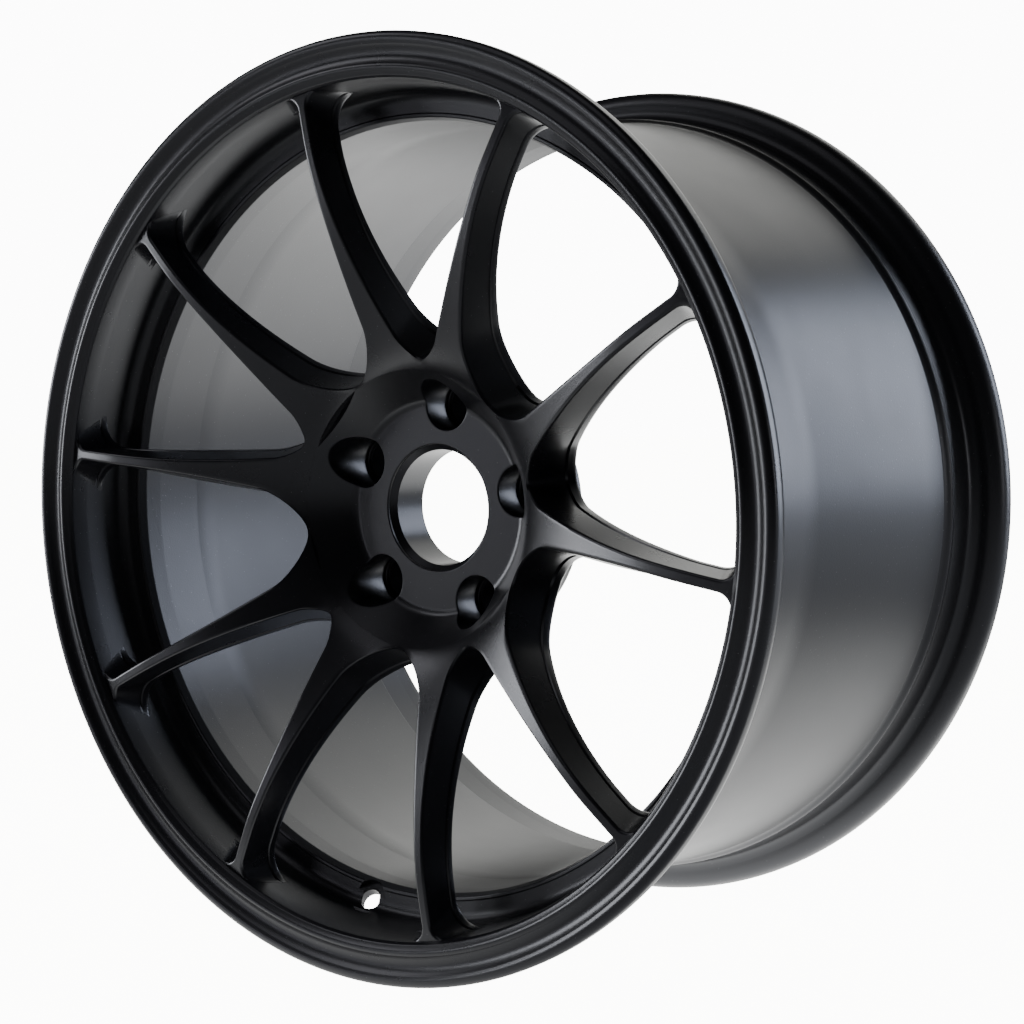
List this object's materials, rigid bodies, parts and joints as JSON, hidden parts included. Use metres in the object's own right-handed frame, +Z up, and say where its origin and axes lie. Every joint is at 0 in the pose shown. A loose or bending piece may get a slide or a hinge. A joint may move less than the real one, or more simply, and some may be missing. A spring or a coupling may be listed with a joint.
{
  "type": "wheel rim",
  "caption": "Forged racing car wheel rim, satin black: paired slender spokes run from a deep dished hub to a stepped outer lip, in front of a wide concave barrel for a tubeless tyre.",
  "frame": {"origin": "centre of the mounting pad at the back of the hub, on the spin axis", "axes": "Y is the spin axis: the wheel's face looks toward -Y and its mounting pad toward +Y. +Z is up, with the valve hole near the bottom. +X is to the right as seen from the front"},
  "size_m": [0.4977, 0.2733, 0.4978],
  "materials": {
    "face_finish": "satin black powder coat",
    "barrel_finish": "satin black powder coat, smoother",
    "hub_finish": "satin black powder coat on machined surfaces"
  },
  "bodies": {
    "root": {"hub_centre": "hub_finish", "hub_disc": "hub_finish", "lip_ring": "face_finish", "front_flange": "face_finish", "front_bead_seat": "barrel_finish", "drop_centre": "barrel_finish", "barrel": "barrel_finish", "rear_hump": "barrel_finish", "rear_bead_seat": "barrel_finish", "rear_flange": "barrel_finish", "spoke_01": "face_finish", "spoke_02": "face_finish", "spoke_03": "face_finish", "spoke_04": "face_finish", "spoke_05": "face_finish", "spoke_06": "face_finish", "spoke_07": "face_finish", "spoke_08": "face_finish", "spoke_09": "face_finish", "spoke_10": "face_finish"}
  },
  "joints": []
}
